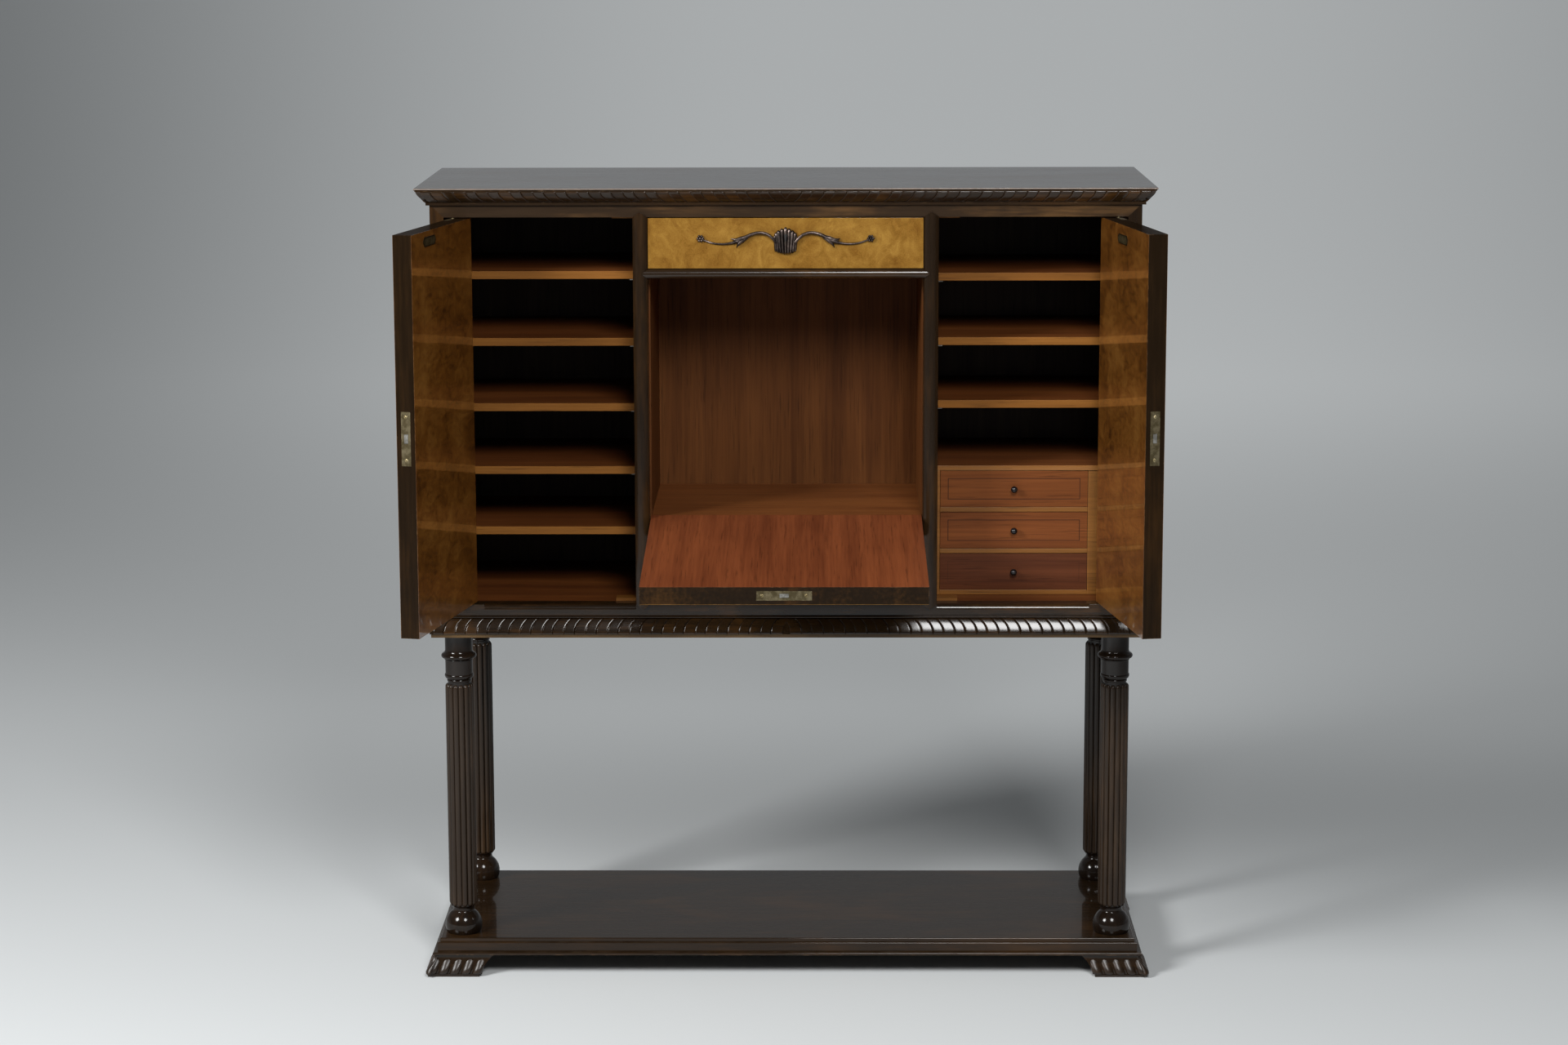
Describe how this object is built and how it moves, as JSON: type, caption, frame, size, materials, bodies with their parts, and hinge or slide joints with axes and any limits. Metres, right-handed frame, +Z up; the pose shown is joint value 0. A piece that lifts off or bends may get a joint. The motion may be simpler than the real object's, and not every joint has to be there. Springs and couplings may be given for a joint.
{
  "type": "cabinet on stand",
  "caption": "Cabinet on a reeded-column stand with pivot-hung doors, a fall flap over a writing space, a top drawer, shelves and small inner drawers.",
  "frame": {"origin": "on the floor, at the middle of the outline of the cabinet as it stands open", "axes": "+Z up, -Y to the front where doors and flap open, +X to the viewer's right as the front is seen"},
  "size_m": [1.192, 0.7966, 1.2985],
  "materials": {
    "stained_birch": "dark-stained birch, polished",
    "flame_birch": "figured birch veneer, high polish",
    "burl_birch": "burr birch veneer, high polish",
    "mahogany": "reddish brown, satin",
    "light_wood": "pale, unpolished",
    "brass": "dull brass",
    "steel": "grey steel",
    "dark_bronze": "dark cast bronze",
    "black_knob": "gloss black"
  },
  "bodies": {
    "cabinet": {"apron_panel": "stained_birch", "back_panel": "light_wood", "base_board": "stained_birch", "bottom_board": "light_wood", "bracket_feet": "stained_birch", "cornice_moulding": "stained_birch", "divider_rail": "stained_birch", "door_stops": "light_wood", "drawer_case": "mahogany", "dust_board": "light_wood", "floor_board": "mahogany", "front_posts": "stained_birch", "front_stiles": "stained_birch", "interior_floor": "mahogany", "interior_lining": "mahogany", "left_shelves": "mahogany", "leg_front_left": "stained_birch", "leg_front_right": "stained_birch", "leg_rear_left": "stained_birch", "leg_rear_right": "stained_birch", "partition_left": "mahogany", "partition_right": "mahogany", "pivot_plates": "brass", "right_shelves": "mahogany", "shelf_pegs": "steel", "side_left": "stained_birch", "side_right": "stained_birch", "sub_top": "stained_birch", "threshold_rail": "stained_birch", "top_board": "stained_birch", "top_rail": "stained_birch", "torus_moulding": "stained_birch"},
    "left_door": {"left_door_panel": "flame_birch", "left_door_pivot_leaves": "brass", "left_door_lock": "brass"},
    "left_door_bolt": {"left_door_bolt": "steel"},
    "right_door": {"right_door_panel": "flame_birch", "right_door_pivot_leaves": "brass", "right_door_lock": "brass"},
    "right_door_bolt": {"right_door_bolt": "steel"},
    "fall_flap": {"flap_panel": "flame_birch", "flap_pivot_leaves": "brass", "flap_lock": "brass", "flap_stud": "brass"},
    "flap_bolt": {"flap_bolt": "steel"},
    "top_drawer": {"top_drawer_front": "burl_birch", "top_drawer_box": "light_wood", "top_drawer_handle": "dark_bronze", "top_drawer_lock": "brass"},
    "top_drawer_bolt": {"top_drawer_bolt": "steel"},
    "small_drawer_lower": {"small_drawer_lower_front": "mahogany", "small_drawer_lower_box": "light_wood", "small_drawer_lower_knob": "black_knob"},
    "small_drawer_middle": {"small_drawer_middle_front": "mahogany", "small_drawer_middle_box": "light_wood", "small_drawer_middle_knob": "black_knob"},
    "small_drawer_upper": {"small_drawer_upper_front": "mahogany", "small_drawer_upper_box": "light_wood", "small_drawer_upper_knob": "black_knob"}
  },
  "joints": [
    {"name": "left_door_hinge", "type": "hinge", "parent": "cabinet", "child": "left_door", "pos_m": [-0.53, -0.00771, 0.9365], "axis": [0, 0, -1], "range_deg": [-102, 13]},
    {"name": "right_door_hinge", "type": "hinge", "parent": "cabinet", "child": "right_door", "pos_m": [0.53, -0.00771, 0.9365], "axis": [0, 0, 1], "range_deg": [-99.3, 15.7]},
    {"name": "flap_hinge", "type": "hinge", "parent": "cabinet", "child": "fall_flap", "pos_m": [0, 0.00129, 0.7505], "axis": [1, 0, 0], "range_deg": [-95.3, 0]},
    {"name": "top_drawer_slide", "type": "slide", "parent": "cabinet", "child": "top_drawer", "axis": [0, -1, 0], "range_m": [0, 0.26]},
    {"name": "small_drawer_lower_slide", "type": "slide", "parent": "cabinet", "child": "small_drawer_lower", "axis": [0, -1, 0], "range_m": [0, 0.21]},
    {"name": "small_drawer_middle_slide", "type": "slide", "parent": "cabinet", "child": "small_drawer_middle", "axis": [0, -1, 0], "range_m": [0, 0.21]},
    {"name": "small_drawer_upper_slide", "type": "slide", "parent": "cabinet", "child": "small_drawer_upper", "axis": [0, -1, 0], "range_m": [0, 0.21]},
    {"name": "left_door_bolt_slide", "type": "slide", "parent": "left_door", "child": "left_door_bolt", "axis": [-0.2079, -0.9781, 0], "range_m": [0, 0.008]},
    {"name": "right_door_bolt_slide", "type": "slide", "parent": "right_door", "child": "right_door_bolt", "axis": [0.1616, -0.9869, 0], "range_m": [0, 0.008]},
    {"name": "flap_bolt_slide", "type": "slide", "parent": "fall_flap", "child": "flap_bolt", "axis": [0, -0.9957, -0.0924], "range_m": [0, 0.008]},
    {"name": "top_drawer_bolt_slide", "type": "slide", "parent": "top_drawer", "child": "top_drawer_bolt", "axis": [0, 0, 1], "range_m": [0, 0.008]}
  ]
}
